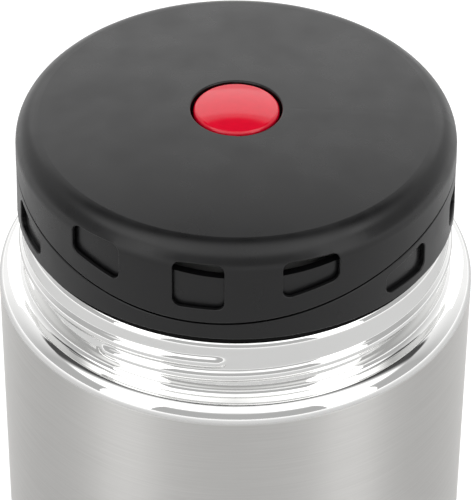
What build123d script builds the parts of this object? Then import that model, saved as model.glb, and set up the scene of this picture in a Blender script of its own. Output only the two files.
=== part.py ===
"""Insulated food jar: double-walled steel jar with a screw stopper and a push-button vent.

Frame: millimetres, +Z up, z = 0 on the table, Z axis through the middle, front towards -Y.
An azimuth is counted from the front (-Y) towards +X, in degrees.
"""

from build123d import *
from math import cos, pi, radians, sin, sqrt, tan
import os

os.makedirs("parts", exist_ok=True)

# ---------------------------------------------------------------- driving dimensions (mm)
# Steel jar
rim_height = 150.0  # table to the top of the steel rim
body_radius = 53.25
shoulder_width = 5.6  # body down to the neck, on the radius
shoulder_drop = 17.65  # rim down to the top of the straight body
shoulder_round = 3.4
neck_fillet = 1.5
rim_round = 1.8  # outer edge of the rim
shell_wall = 0.6
base_round = 4.0
hem_inset = 5.65  # body down to the hem at the bottom of the shell, on the radius
hem_height = 3.8
hem_round = 1.0
shell_lift = 1.2  # shell's lowest point above the table

# Outer thread on the neck, for a cup lid
cup_thread_starts = 2
cup_thread_pitch = 3.7
cup_thread_height = 0.9
cup_thread_width = 3.4
cup_thread_turn = 212.0  # degrees that each ridge runs
cup_thread_top_drop = 5.3  # rim down to the upper end of a ridge
cup_thread_azimuth = -5.0  # upper end of the first ridge

# Inner vessel
liner_wall = 0.5
body_vacuum_gap = 4.15
neck_vacuum_gap = 3.55
weld_inset = 1.9  # neck to the line where both rims meet, on the radius
mouth_round = 0.5
mouth_depth = 20.0  # rim down to the top of the seal seat
seat_width = 3.2
seat_drop = 2.4
seat_round = 0.6
throat_length = 3.0
throat_fillet = 4.0
vessel_round = 4.0
vessel_floor = 12.5  # table to the inside bottom of the vessel
floor_round = 14.0

# Thread between the mouth and the stopper
stopper_starts = 3
stopper_pitch = 5.0
ridge_root_width = 2.4
ridge_crest_width = 1.2
ridge_height = 1.3
ridge_turn = 100.0
thread_azimuth = 20.0  # lower end of the first ridge, in the mouth and on the plug
mouth_thread_drop = 11.0  # rim down to the lower end of the mouth's ridges
flank_gap = 0.35
thread_gap = 0.5  # crest of one thread to the root of the other

# Base
base_plate_wall = 0.6
base_plate_height = 5.6
base_skirt_depth = 4.0
evacuation_radius = 1.0
bead_radius = 4.5
bead_height = 1.0
getter_radius = 5.0
getter_height = 2.0
getter_offset = 20.0
foil_thickness = 0.2
foil_margin = 6.0
foil_gap = 0.1
cover_wall = 1.6
cover_gap = 0.25
foot_height = 2.0
foot_width = 4.6
foot_round = 0.8
land_radius = 31.0
land_width = 2.0

# Stopper, outside
stopper_gap = 1.9  # rim up to the lower edge of the grip ring
ring_overhang = 0.9  # neck out to the grip ring's lower edge
side_draft = 1.1  # degrees that the side leans inwards
cap_step = 0.1  # cap stands this far outside the grip ring
cap_wall = 0.85
cap_top_wall = 2.0
ring_wall = 1.05
sleeve_wall = 1.5
lip_height = 1.5
lip_gap = 0.4  # mouth out to the bore of the grip ring's lip
gasket_inset = 1.1
gasket_margin = 0.2
seam_height = 10.6  # rim up to the middle height of the wavy seam
seam_wave = 4.8
seam_gap = 0.55
seam_azimuth = -9.3
sleeve_edge_height = 21.7
sleeve_edge_azimuth = 4.0
sleeve_top_height = 20.5
edge_round = 5.7
inner_edge_round = 2.6
edge_centre_height = 19.4  # rim up to the centre of the cap's rounded edge
dome_radius = 480.0
hole_edge_round = 0.4

# Windows in the cap and in the ring; the heights are above the rim
window_pitch = 28.7
ring_window_pitch = 31.4
middle_width = 11.0
side_width = 12.5
ring_side_width = 12.9
cap_window_top = 21.1
cap_middle_bottom = 9.65
cap_side_bottom = 13.1
window_slope = 0.2
ring_window_bottom = 4.2
ring_middle_top = 11.6
ring_side_top = 10.5
window_round = 1.8
window_edge_round = 0.25

# How the cuts are made
blank_margin = 1.5  # the blanks of the ring and the cap go this far past the seam
wave_reach = 1.3  # the wavy cut goes this far past the ring, as a factor of its radius
cut_height = 60.0
cutter_depth = 6.0  # a window is cut from this far inside the ring to this far outside it
crest_steps = 6
surface_tolerance = 0.02

# Push button
button_radius = 9.4
button_gap = 0.6
button_proud = 0.9  # middle of the button's face above the cap's dome
button_crown = 1.05
button_edge_round = 1.0
button_wall = 1.4
button_travel = 3.0
button_flange = 1.3
button_flange_height = 1.0
collar_wall = 1.5
stop_gap = 0.3

# Plug
plug_wall = 1.8
plug_bottom_rise = 1.0  # plug wall's lower end above the seal seat
tower_height = 16.0  # rim up to the top of the plug
tower_plate = 2.0
flange_height = 1.8
flange_gap = 0.1
guide_gap = 0.1
guide_wall = 1.6
guide_rise = 0.6  # guide tube's lower end above the plug base
screw_count = 3
screw_circle_radius = 27.0
screw_radius = 1.5
screw_gap = 0.2
screw_head_radius = 2.9
screw_head_height = 2.0
screw_bite = 6.0
screw_recess_length = 3.4
screw_recess_width = 0.8
pilot_spare = 0.5
boss_radius = 4.0

# Plug base and seals
plug_base_drop = 26.0  # rim down to the plug base's lower face
plug_base_wall = 1.6
plug_base_gap = 0.6  # throat in to the plug base
seal_depth = 1.8
seal_lip = 0.75
seal_pass_gap = 0.4  # the seal's lip inside the mouth's thread
seat_gap = 0.43
collar_height = 4.0
socket_height = 3.4
foam_gap = 0.2
foam_headroom = 1.5
fit_gap = 0.05
soft_gap = 0.3

# Valve
stem_radius = 2.5
stem_fit = 0.02
stem_boss_radius = 4.2
stem_collar_radius = 3.4
stem_collar_height = 1.2
valve_hole_radius = 4.0
valve_radius = 7.5
valve_disc_height = 1.5
valve_seal_height = 1.5
groove_radius = 1.9
clip_height = 0.8
clip_width = 2.3
clip_slot = 2.3
spring_wire = 0.9
spring_radius = 6.6
spring_turns = 4.0
spring_seat_gap = 0.02


# ---------------------------------------------------------------- derived places
# Radii, from the outside in
hem_radius = body_radius - hem_inset
vessel_radius = body_radius - shell_wall - body_vacuum_gap - liner_wall
neck_radius = body_radius - shoulder_width
mouth_radius = neck_radius - shell_wall - neck_vacuum_gap - liner_wall
weld_radius = neck_radius - weld_inset
throat_radius = mouth_radius - seat_width
plug_radius = mouth_radius - ridge_height - thread_gap
plug_bore_radius = plug_radius - plug_wall
plug_base_radius = throat_radius - plug_base_gap
seal_bore_radius = plug_base_radius - seal_depth
seal_radius = mouth_radius - ridge_height - seal_pass_gap
ring_foot_radius = neck_radius + ring_overhang
lip_bore_radius = mouth_radius + lip_gap
cover_radius = hem_radius - fit_gap - base_plate_wall - cover_gap
foil_radius = vessel_radius + liner_wall + foil_gap
guide_radius = stem_radius + guide_gap
guide_outer_radius = guide_radius + guide_wall
socket_radius = guide_outer_radius + fit_gap
socket_outer_radius = socket_radius + plug_base_wall
collar_radius = button_radius + button_gap

# Heights of the jar
rim_z = rim_height
shoulder_top_z = rim_z - shoulder_drop + shoulder_round
seat_z = rim_z - mouth_depth
throat_z = seat_z - seat_drop
vessel_top_z = throat_z - throat_length - throat_fillet
base_plate_top_z = base_plate_height + base_plate_wall

# Heights of the stopper
ring_bottom_z = rim_z + stopper_gap
lip_top_z = ring_bottom_z + lip_height
flange_top_z = lip_top_z + flange_height
seam_z = rim_z + seam_height
sleeve_top_z = rim_z + sleeve_top_height
edge_z = rim_z + edge_centre_height
tower_z = rim_z + tower_height
plug_bottom_z = seat_z + plug_bottom_rise
plug_base_z = rim_z - plug_base_drop
plug_floor_z = plug_base_z + plug_base_wall
collar_top_z = plug_bottom_z + collar_height
seal_floor_z = plug_floor_z + guide_gap
seal_top_z = plug_bottom_z - guide_gap
guide_bottom_z = plug_floor_z + guide_rise
screw_head_z = tower_z - tower_plate - screw_head_height
foam_top_z = screw_head_z - foam_headroom
ring_blank_z = seam_z + seam_wave + blank_margin  # the ring and the cap are first turned to these
cap_blank_z = seam_z - seam_wave - blank_margin
above_all_z = ring_blank_z + cut_height
below_all_z = cap_blank_z - cut_height
outline_top_z = rim_z + cap_window_top + window_edge_round

# Threads
cup_thread_lead = cup_thread_starts * cup_thread_pitch
cup_thread_rise = cup_thread_lead * cup_thread_turn / 360
stopper_lead = stopper_starts * stopper_pitch
mouth_ridge_z = rim_z - mouth_thread_drop
plug_ridge_z = mouth_ridge_z - (ridge_root_width + ridge_crest_width) / 2 - flank_gap

side_slope = tan(radians(side_draft))
seat_slope = seat_drop / seat_width
sleeve_inset = ring_wall + fit_gap


def ring_radius(z):
    """Outside of the grip ring at height z."""
    return ring_foot_radius - (z - ring_bottom_z) * side_slope


def cap_radius(z):
    """Outside of the cap's side at height z."""
    return ring_radius(z) + cap_step


def sleeve_radius(z):
    """Outside of the inner sleeve at height z."""
    return ring_radius(z) - sleeve_inset


def lip_z(radius):
    """Underside of the main seal's lip, which follows the seal seat just above it."""
    return throat_z + (radius - throat_radius) * seat_slope + seat_gap


flange_radius = sleeve_radius(lip_top_z) - sleeve_wall - flange_gap
edge_centre_radius = cap_radius(edge_z) - edge_round
corner_radius = cap_radius(edge_z + edge_round)


def dome_z(radius):
    """Height of the cap's domed top at a radius from the axis."""
    return edge_z + edge_round + (edge_centre_radius**2 - radius**2) / (2 * dome_radius)


def cap_outside(z):
    """Outside of the cap at height z, on its side and on its rounded edge."""
    if z < edge_z:
        return cap_radius(z)
    return edge_centre_radius + sqrt(max(edge_round**2 - (z - edge_z) ** 2, 0))


# Heights of the button and the valve
button_top_z = dome_z(0) + button_proud
button_ceiling_z = button_top_z - button_crown - button_wall
button_flange_z = tower_z + button_travel + stop_gap
button_flange_top_z = button_flange_z + button_flange_height
collar_bottom_z = button_flange_top_z + stop_gap
stem_top_z = button_ceiling_z - button_wall
valve_seal_z = plug_base_z - soft_gap - valve_seal_height
valve_disc_z = valve_seal_z - valve_disc_height
clip_z = valve_disc_z - clip_height
stem_bottom_z = clip_z - clip_height


def front_plane(azimuth):
    """Vertical plane through the axis that faces outwards at an azimuth, seen with +Z up."""
    a = radians(azimuth)
    return Plane(origin=(0, 0, 0), x_dir=(cos(a), sin(a), 0), z_dir=(sin(a), -cos(a), 0))


def wave_block(mean_z, low_azimuth, end_z):
    """Solid between a two-wave saddle surface and the level end_z.

    The saddle z = mean - wave * cos(2 * (azimuth - low_azimuth)) is exact at the seam's
    radius, and is made as a ruled loft between two slanting edges.
    """
    reach = wave_reach * ring_foot_radius
    twist = 2 * seam_wave / cap_radius(seam_z) ** 2
    rise = twist * reach * reach
    turn = radians(low_azimuth - 90 + 45)
    across = Vector(cos(turn), sin(turn), 0)
    along = across.cross(Vector(0, 0, 1))
    with BuildPart() as block:
        for side in (-1, 1):
            section = Plane(origin=along * (side * reach), x_dir=across, z_dir=along)
            with BuildSketch(section):
                with BuildLine():
                    Polyline(
                        (-reach, mean_z + side * rise),
                        (reach, mean_z - side * rise),
                        (reach, end_z),
                        (-reach, end_z),
                        close=True,
                    )
                make_face()
        loft(ruled=True)
    return block.part


def window_cutter(azimuth, width, bottom, top, bottom_slope, top_slope):
    """Rounded window prism, pushed outwards from inside the sleeve."""
    half = width / 2
    with BuildPart() as cutter:
        with BuildSketch(front_plane(azimuth).offset(ring_foot_radius - cutter_depth)):
            with BuildLine():
                Polyline(
                    (-half, rim_z + bottom - half * bottom_slope),
                    (half, rim_z + bottom + half * bottom_slope),
                    (half, rim_z + top + half * top_slope),
                    (-half, rim_z + top - half * top_slope),
                    close=True,
                )
            corners = make_face()
            fillet(corners.vertices(), window_round)
        extrude(amount=2 * cutter_depth)
    return cutter.part


def helix_ridge(radius, lead, turn, start_azimuth, start_z, outline):
    """One thread ridge: an outline of (outwards, along the axis) points swept up a helix."""
    with BuildPart() as ridge:
        with BuildLine() as route:
            Helix(pitch=lead, height=lead * turn / 360, radius=radius)
        with BuildSketch(Plane(origin=route.line @ 0, x_dir=(1, 0, 0), z_dir=route.line % 0)):
            with BuildLine():
                Polyline(*outline, close=True)
            make_face()
        sweep(path=route.line, is_frenet=True)
    return ridge.part.moved(Location((0, 0, start_z), (0, 0, start_azimuth - 90)))


def half_round(height, width, depth):
    """Thread section with a rounded crest, sunk by depth into its wall."""
    crest = [
        (height * cos(pi * (i / crest_steps - 0.5)), width / 2 * sin(pi * (i / crest_steps - 0.5)))
        for i in range(crest_steps + 1)
    ]
    return [(-depth, -width / 2), *crest, (-depth, width / 2)]


def flat_crest(height, depth):
    """Thread section with a flat crest, its flanks run on into the wall; negative points inwards."""
    sink = -depth if height > 0 else depth
    sunk_width = ridge_root_width + (ridge_root_width - ridge_crest_width) * depth / abs(height)
    return [
        (sink, -sunk_width / 2),
        (height, -ridge_crest_width / 2),
        (height, ridge_crest_width / 2),
        (sink, sunk_width / 2),
    ]


def outline_edges(builder, outside):
    """Edges where the seam, the windows and the lower end cut the outside of a turned piece."""

    def on_outside(point):
        reach = sqrt(point.X**2 + point.Y**2)
        return point.Z < outline_top_z and abs(reach - outside(point.Z)) < surface_tolerance

    found = ShapeList()
    for face in builder.faces():
        if not on_outside(face.center()):
            found.extend(edge for edge in face.edges() if on_outside(edge @ 0.5))
    return found


def corner_at(sketch, radius, z):
    """Corner of a turned profile that is nearest to a radius and a height."""
    return sketch.vertices().sort_by_distance((radius, z, 0))[0]


# ---------------------------------------------------------------- jar
with BuildPart() as outer_shell:
    with BuildSketch(Plane.XZ):
        with BuildLine():
            FilletPolyline(
                (hem_radius, shell_lift + hem_height),
                (hem_radius, shell_lift),
                (body_radius, shell_lift),
                (body_radius, shoulder_top_z),
                (neck_radius, shoulder_top_z),
                (neck_radius, rim_z),
                (weld_radius, rim_z),
                radius=[hem_round, base_round, shoulder_round, neck_fillet, rim_round],
            )
            offset(amount=shell_wall, side=Side.LEFT)
        make_face()
    revolve(axis=Axis.Z)
    for i in range(cup_thread_starts):
        add(
            helix_ridge(
                neck_radius,
                cup_thread_lead,
                cup_thread_turn,
                cup_thread_azimuth - cup_thread_turn + 360 * i / cup_thread_starts,
                rim_z - cup_thread_top_drop - cup_thread_rise,
                half_round(cup_thread_height, cup_thread_width, shell_wall / 2),
            )
        )

with BuildPart() as inner_liner:
    with BuildSketch(Plane.XZ):
        with BuildLine():
            FilletPolyline(
                (weld_radius, rim_z),
                (mouth_radius, rim_z),
                (mouth_radius, seat_z),
                (throat_radius, throat_z),
                (throat_radius, vessel_top_z),
                (vessel_radius, vessel_top_z),
                (vessel_radius, vessel_floor),
                (0, vessel_floor),
                radius=[mouth_round, seat_round, seat_round, throat_fillet, vessel_round, floor_round],
            )
            offset(amount=liner_wall, side=Side.LEFT)
        make_face()
    revolve(axis=Axis.Z)
    for i in range(stopper_starts):
        add(
            helix_ridge(
                mouth_radius,
                stopper_lead,
                ridge_turn,
                thread_azimuth + 360 * i / stopper_starts,
                mouth_ridge_z,
                flat_crest(-ridge_height, liner_wall / 2),
            )
        )

with BuildPart() as outer_base:
    with BuildSketch(Plane.XZ):
        with BuildLine():
            FilletPolyline(
                (hem_radius - fit_gap, base_plate_top_z - base_skirt_depth),
                (hem_radius - fit_gap, base_plate_top_z),
                (evacuation_radius, base_plate_top_z),
                radius=hem_round,
            )
            offset(amount=base_plate_wall, side=Side.LEFT)
        make_face()
    revolve(axis=Axis.Z)

with BuildPart() as vacuum_seal_bead:
    with BuildSketch(Plane.XY.offset(base_plate_height)):
        Circle(bead_radius)
    extrude(amount=-bead_height)
    fillet(vacuum_seal_bead.faces().sort_by(Axis.Z)[0].edges(), bead_height / 2)
    with BuildSketch(Plane.XY.offset(base_plate_height)):
        Circle(evacuation_radius - fit_gap)
    extrude(amount=base_plate_wall)

with BuildPart() as getter:
    with BuildSketch(Plane.XY.offset(base_plate_top_z)):
        with Locations((getter_offset, 0)):
            Circle(getter_radius)
    extrude(amount=getter_height)
    chamfer(getter.faces().sort_by(Axis.Z)[-1].edges(), getter_height / 5)

with BuildPart() as foil_wrap:
    with BuildSketch(Plane.XY.offset(vessel_floor + foil_margin)):
        Circle(foil_radius + foil_thickness)
        Circle(foil_radius, mode=Mode.SUBTRACT)
    extrude(amount=vessel_top_z - vessel_floor - 2 * foil_margin)

with BuildPart() as base_cover:
    with BuildSketch(Plane.XY.offset(foot_height)):
        Circle(cover_radius)
    extrude(amount=cover_wall)
    with BuildSketch(Plane.XY):
        Circle(cover_radius)
        Circle(cover_radius - foot_width, mode=Mode.SUBTRACT)
    extrude(amount=foot_height)
    fillet(base_cover.faces().sort_by(Axis.Z)[0].edges(), foot_round)
    with BuildSketch(Plane.XY.offset(foot_height + cover_wall)):
        Circle(land_radius + land_width)
        Circle(land_radius, mode=Mode.SUBTRACT)
    extrude(amount=base_plate_height - foot_height - cover_wall)


# ---------------------------------------------------------------- stopper
with BuildPart() as grip_ring:
    with BuildSketch(Plane.XZ):
        with BuildLine():
            Polyline(
                (lip_bore_radius, ring_bottom_z),
                (ring_radius(ring_bottom_z), ring_bottom_z),
                (ring_radius(ring_blank_z), ring_blank_z),
                (ring_radius(ring_blank_z) - ring_wall, ring_blank_z),
                (ring_radius(lip_top_z) - ring_wall, lip_top_z),
                (lip_bore_radius, lip_top_z),
                close=True,
            )
        make_face()
    revolve(axis=Axis.Z)
    add(wave_block(seam_z - seam_gap / 2, seam_azimuth, above_all_z), mode=Mode.SUBTRACT)
    for group in (90, 270):
        for step in (-1, 0, 1):
            add(
                window_cutter(
                    seam_azimuth + group + step * ring_window_pitch,
                    ring_side_width if step else middle_width,
                    ring_window_bottom,
                    ring_side_top if step else ring_middle_top,
                    0,
                    -step * window_slope,
                ),
                mode=Mode.SUBTRACT,
            )
    fillet(outline_edges(grip_ring, ring_radius), window_edge_round)

with BuildPart() as inner_sleeve:
    with BuildSketch(Plane.XZ):
        with BuildLine():
            Polyline(
                (sleeve_radius(lip_top_z) - sleeve_wall, lip_top_z),
                (sleeve_radius(lip_top_z), lip_top_z),
                (sleeve_radius(sleeve_top_z), sleeve_top_z),
                (sleeve_radius(sleeve_top_z) - sleeve_wall, sleeve_top_z),
                close=True,
            )
        make_face()
    revolve(axis=Axis.Z)
    add(wave_block(rim_z + sleeve_edge_height, sleeve_edge_azimuth, above_all_z), mode=Mode.SUBTRACT)

with BuildPart() as stopper_cap:
    with BuildSketch(Plane.XZ) as cap_profile:
        with BuildLine():
            Polyline(
                (corner_radius - cap_wall, dome_z(corner_radius) - cap_top_wall),
                (cap_radius(cap_blank_z) - cap_wall, cap_blank_z),
                (cap_radius(cap_blank_z), cap_blank_z),
                (corner_radius, dome_z(corner_radius)),
            )
            ThreePointArc(
                (corner_radius, dome_z(corner_radius)),
                (corner_radius / 2, dome_z(corner_radius / 2)),
                (collar_radius, dome_z(collar_radius)),
            )
            Polyline(
                (collar_radius, dome_z(collar_radius)),
                (collar_radius, collar_bottom_z),
                (collar_radius + collar_wall, collar_bottom_z),
                (collar_radius + collar_wall, dome_z(collar_radius + collar_wall) - cap_top_wall),
            )
            ThreePointArc(
                (collar_radius + collar_wall, dome_z(collar_radius + collar_wall) - cap_top_wall),
                (corner_radius / 2, dome_z(corner_radius / 2) - cap_top_wall),
                (corner_radius - cap_wall, dome_z(corner_radius) - cap_top_wall),
            )
        make_face()
        fillet(corner_at(cap_profile, corner_radius, dome_z(corner_radius)), edge_round)
        inner_corner_z = dome_z(corner_radius) - cap_top_wall
        fillet(corner_at(cap_profile, corner_radius - cap_wall, inner_corner_z), inner_edge_round)
        fillet(corner_at(cap_profile, collar_radius, dome_z(collar_radius)), hole_edge_round)
    revolve(axis=Axis.Z)
    with BuildSketch(Plane.XY.offset(tower_z)):
        with PolarLocations(screw_circle_radius, screw_count, start_angle=90):
            Circle(boss_radius)
    extrude(until=Until.NEXT)
    with BuildSketch(Plane.XY.offset(tower_z)):
        with PolarLocations(screw_circle_radius, screw_count, start_angle=90):
            Circle(screw_radius + fit_gap)
    extrude(amount=screw_bite + pilot_spare, mode=Mode.SUBTRACT)
    add(wave_block(seam_z + seam_gap / 2, seam_azimuth, below_all_z), mode=Mode.SUBTRACT)
    for group in (0, 180):
        for step in (-1, 0, 1):
            add(
                window_cutter(
                    seam_azimuth + group + step * window_pitch,
                    side_width if step else middle_width,
                    cap_side_bottom if step else cap_middle_bottom,
                    cap_window_top,
                    step * window_slope,
                    0,
                ),
                mode=Mode.SUBTRACT,
            )
    fillet(outline_edges(stopper_cap, cap_outside), window_edge_round)

with BuildPart() as rim_gasket:
    with BuildSketch(Plane.XY.offset(rim_z + soft_gap)):
        Circle(ring_foot_radius - gasket_inset)
        Circle(lip_bore_radius + gasket_margin, mode=Mode.SUBTRACT)
    extrude(amount=stopper_gap - soft_gap)

with BuildPart() as plug_body:
    with BuildSketch(Plane.XZ):
        with BuildLine():
            Polyline(
                (plug_bore_radius, plug_bottom_z),
                (plug_radius, plug_bottom_z),
                (plug_radius, lip_top_z),
                (flange_radius, lip_top_z),
                (flange_radius, flange_top_z),
                (plug_radius, flange_top_z),
                (plug_radius, tower_z),
                (guide_radius, tower_z),
                (guide_radius, guide_bottom_z),
                (guide_outer_radius, guide_bottom_z),
                (guide_outer_radius, tower_z - tower_plate),
                (plug_bore_radius, tower_z - tower_plate),
                close=True,
            )
        make_face()
    revolve(axis=Axis.Z)
    with BuildSketch(Plane.XY.offset(tower_z)):
        with PolarLocations(screw_circle_radius, screw_count, start_angle=90):
            Circle(screw_radius + screw_gap)
    extrude(amount=-tower_plate, mode=Mode.SUBTRACT)
    for i in range(stopper_starts):
        add(
            helix_ridge(
                plug_radius,
                stopper_lead,
                ridge_turn,
                thread_azimuth + 360 * i / stopper_starts,
                plug_ridge_z,
                flat_crest(ridge_height, plug_wall / 4),
            )
        )

with BuildPart() as plug_base:
    with BuildSketch(Plane.XZ):
        with BuildLine():
            Polyline(
                (valve_hole_radius, plug_base_z),
                (plug_base_radius, plug_base_z),
                (plug_base_radius, plug_floor_z),
                (seal_bore_radius, plug_floor_z),
                (seal_bore_radius, plug_bottom_z),
                (plug_bore_radius - fit_gap, plug_bottom_z),
                (plug_bore_radius - fit_gap, collar_top_z),
                (seal_bore_radius - plug_base_wall, collar_top_z),
                (seal_bore_radius - plug_base_wall, plug_floor_z),
                (socket_outer_radius, plug_floor_z),
                (socket_outer_radius, plug_floor_z + socket_height),
                (socket_radius, plug_floor_z + socket_height),
                (socket_radius, plug_floor_z),
                (valve_hole_radius, plug_floor_z),
                close=True,
            )
        make_face()
    revolve(axis=Axis.Z)

with BuildPart() as insulation_foam:
    foam_bore = socket_outer_radius + foam_gap
    with BuildSketch(Plane.XZ):
        with BuildLine():
            Polyline(
                (foam_bore, plug_floor_z),
                (seal_bore_radius - plug_base_wall - foam_gap, plug_floor_z),
                (seal_bore_radius - plug_base_wall - foam_gap, collar_top_z + foam_gap),
                (plug_bore_radius - foam_gap, collar_top_z + foam_gap),
                (plug_bore_radius - foam_gap, foam_top_z),
                (foam_bore, foam_top_z),
                close=True,
            )
        make_face()
    revolve(axis=Axis.Z)

with BuildPart() as cap_screws:
    with BuildSketch(Plane.XY.offset(tower_z - tower_plate)):
        with PolarLocations(screw_circle_radius, screw_count, start_angle=90):
            Circle(screw_head_radius)
    extrude(amount=-screw_head_height)
    fillet(cap_screws.faces().group_by(Axis.Z)[0].edges(), screw_head_height / 4)
    with BuildSketch(Plane.XY.offset(screw_head_z)):
        with PolarLocations(screw_circle_radius, screw_count, start_angle=90):
            Rectangle(screw_recess_length, screw_recess_width)
            Rectangle(screw_recess_width, screw_recess_length)
    extrude(amount=screw_head_height / 2, mode=Mode.SUBTRACT)
    with BuildSketch(Plane.XY.offset(tower_z - tower_plate)):
        with PolarLocations(screw_circle_radius, screw_count, start_angle=90):
            Circle(screw_radius)
    extrude(amount=tower_plate + screw_bite)
    chamfer(cap_screws.faces().group_by(Axis.Z)[-1].edges(), screw_radius / 2)

with BuildPart() as main_seal:
    with BuildSketch(Plane.XZ):
        with BuildLine():
            Polyline(
                (seal_bore_radius + fit_gap, seal_floor_z),
                (plug_base_radius, seal_floor_z),
                (plug_base_radius, lip_z(plug_base_radius)),
                (seal_radius, lip_z(seal_radius)),
                (seal_radius, lip_z(seal_radius) + seal_lip),
                (plug_base_radius, seal_top_z),
                (seal_bore_radius + fit_gap, seal_top_z),
                close=True,
            )
        make_face()
    revolve(axis=Axis.Z)


# ---------------------------------------------------------------- push button and valve
with BuildPart() as push_button:
    with BuildSketch(Plane.XZ) as button_profile:
        with BuildLine():
            ThreePointArc(
                (0, button_top_z),
                (button_radius / 2, button_top_z - button_crown / 4),
                (button_radius, button_top_z - button_crown),
            )
            Polyline(
                (button_radius, button_top_z - button_crown),
                (button_radius, button_flange_top_z),
                (button_radius + button_flange, button_flange_top_z),
                (button_radius + button_flange, button_flange_z),
                (button_radius - button_wall, button_flange_z),
                (button_radius - button_wall, button_ceiling_z),
                (stem_boss_radius, button_ceiling_z),
                (stem_boss_radius, button_flange_z),
                (stem_radius + stem_fit, button_flange_z),
                (stem_radius + stem_fit, stem_top_z),
                (0, stem_top_z),
                (0, button_top_z),
            )
        make_face()
        top_corner = corner_at(button_profile, button_radius, button_top_z - button_crown)
        fillet(top_corner, button_edge_round)
    revolve(axis=Axis.Z)

with BuildPart() as valve_stem:
    with BuildSketch(Plane.XZ):
        with BuildLine():
            Polyline(
                (0, stem_bottom_z),
                (stem_radius - clip_height / 2, stem_bottom_z),
                (stem_radius, stem_bottom_z + clip_height / 2),
                (stem_radius, clip_z),
                (groove_radius, clip_z),
                (groove_radius, valve_disc_z),
                (stem_radius, valve_disc_z),
                (stem_radius, valve_seal_z),
                (stem_collar_radius, valve_seal_z),
                (stem_collar_radius, valve_seal_z + stem_collar_height),
                (stem_radius, valve_seal_z + stem_collar_height),
                (stem_radius, stem_top_z),
                (0, stem_top_z),
                close=True,
            )
        make_face()
    revolve(axis=Axis.Z)

with BuildPart() as valve_disc:
    with BuildSketch(Plane.XY.offset(valve_disc_z)):
        Circle(valve_radius)
        Circle(stem_radius + fit_gap, mode=Mode.SUBTRACT)
    extrude(amount=valve_disc_height)
    fillet(valve_disc.faces().sort_by(Axis.Z)[0].outer_wire().edges(), valve_disc_height / 3)

with BuildPart() as valve_seal:
    with BuildSketch(Plane.XY.offset(valve_seal_z)):
        Circle(valve_radius - soft_gap)
        Circle(stem_collar_radius + fit_gap, mode=Mode.SUBTRACT)
    extrude(amount=valve_seal_height)
    fillet(valve_seal.faces().sort_by(Axis.Z)[-1].outer_wire().edges(), valve_seal_height / 4)

with BuildPart() as valve_clip:
    with BuildSketch(Plane.XY.offset(clip_z + fit_gap)):
        Circle(groove_radius + clip_width)
        Circle(groove_radius + fit_gap, mode=Mode.SUBTRACT)
        with Locations((0, -groove_radius - clip_width / 2)):
            Rectangle(clip_slot, 2 * groove_radius + clip_width, mode=Mode.SUBTRACT)
    extrude(amount=clip_height - 2 * fit_gap)

with BuildPart() as valve_spring:
    spring_low_z = tower_z + spring_wire / 2 + spring_seat_gap
    spring_high_z = button_ceiling_z - spring_wire / 2 - spring_seat_gap
    with BuildLine(Plane.XY.offset(spring_low_z)) as coil:
        Helix(
            pitch=(spring_high_z - spring_low_z) / spring_turns,
            height=spring_high_z - spring_low_z,
            radius=spring_radius,
        )
    with BuildSketch(Plane(origin=coil.line @ 0, x_dir=(1, 0, 0), z_dir=coil.line % 0)):
        Circle(spring_wire / 2)
    sweep(path=coil.line, is_frenet=True)


# ---------------------------------------------------------------- files
pieces = {
    "outer_shell": outer_shell,
    "inner_liner": inner_liner,
    "outer_base": outer_base,
    "vacuum_seal_bead": vacuum_seal_bead,
    "getter": getter,
    "foil_wrap": foil_wrap,
    "base_cover": base_cover,
    "stopper_cap": stopper_cap,
    "grip_ring": grip_ring,
    "inner_sleeve": inner_sleeve,
    "rim_gasket": rim_gasket,
    "plug_body": plug_body,
    "plug_base": plug_base,
    "insulation_foam": insulation_foam,
    "cap_screws": cap_screws,
    "main_seal": main_seal,
    "push_button": push_button,
    "valve_stem": valve_stem,
    "valve_disc": valve_disc,
    "valve_seal": valve_seal,
    "valve_clip": valve_clip,
    "valve_spring": valve_spring,
}
for name, piece in pieces.items():
    piece.part.label = name
    export_step(piece.part, f"parts/{name}.step")
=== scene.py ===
"""Looks of an insulated food jar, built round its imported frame. Lengths are in metres."""

import math

import bpy
from mathutils import Matrix, Vector


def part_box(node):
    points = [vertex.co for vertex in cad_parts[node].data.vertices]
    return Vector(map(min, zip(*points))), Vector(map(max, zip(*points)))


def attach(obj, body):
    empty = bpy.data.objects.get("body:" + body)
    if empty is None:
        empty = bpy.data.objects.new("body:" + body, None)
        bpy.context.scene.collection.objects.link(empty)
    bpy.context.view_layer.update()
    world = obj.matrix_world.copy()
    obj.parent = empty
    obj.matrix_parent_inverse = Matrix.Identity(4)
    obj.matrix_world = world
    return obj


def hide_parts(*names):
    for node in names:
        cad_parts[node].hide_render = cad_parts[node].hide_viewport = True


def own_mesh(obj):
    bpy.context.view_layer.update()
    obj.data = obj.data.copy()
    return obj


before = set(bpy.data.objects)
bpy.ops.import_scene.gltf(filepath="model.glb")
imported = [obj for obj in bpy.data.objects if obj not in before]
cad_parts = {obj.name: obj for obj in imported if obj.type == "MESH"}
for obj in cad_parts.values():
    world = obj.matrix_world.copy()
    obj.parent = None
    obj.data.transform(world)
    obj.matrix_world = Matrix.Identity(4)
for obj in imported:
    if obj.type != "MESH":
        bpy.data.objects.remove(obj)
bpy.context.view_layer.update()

bl_info = {
    "name": "Insulated Food Jar",
    "version": (1, 0, 0),
    "blender": (4, 5, 0),
    "location": "3D View > Sidebar > Food Jar",
    "description": "Builds the surfaces, the rolled steel shell and the studio of an insulated food jar",
    "category": "Object",
}

MM = 0.001
MERGE = 0.005 * MM  # points of one turned outline closer than this are one point
SMOOTH = math.radians(35)  # edges sharper than this stay sharp

# the mix node has a socket of each name for each kind of data: these are the colours
MIX_A = 6
MIX_B = 7
MIX_RESULT = 2

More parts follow.
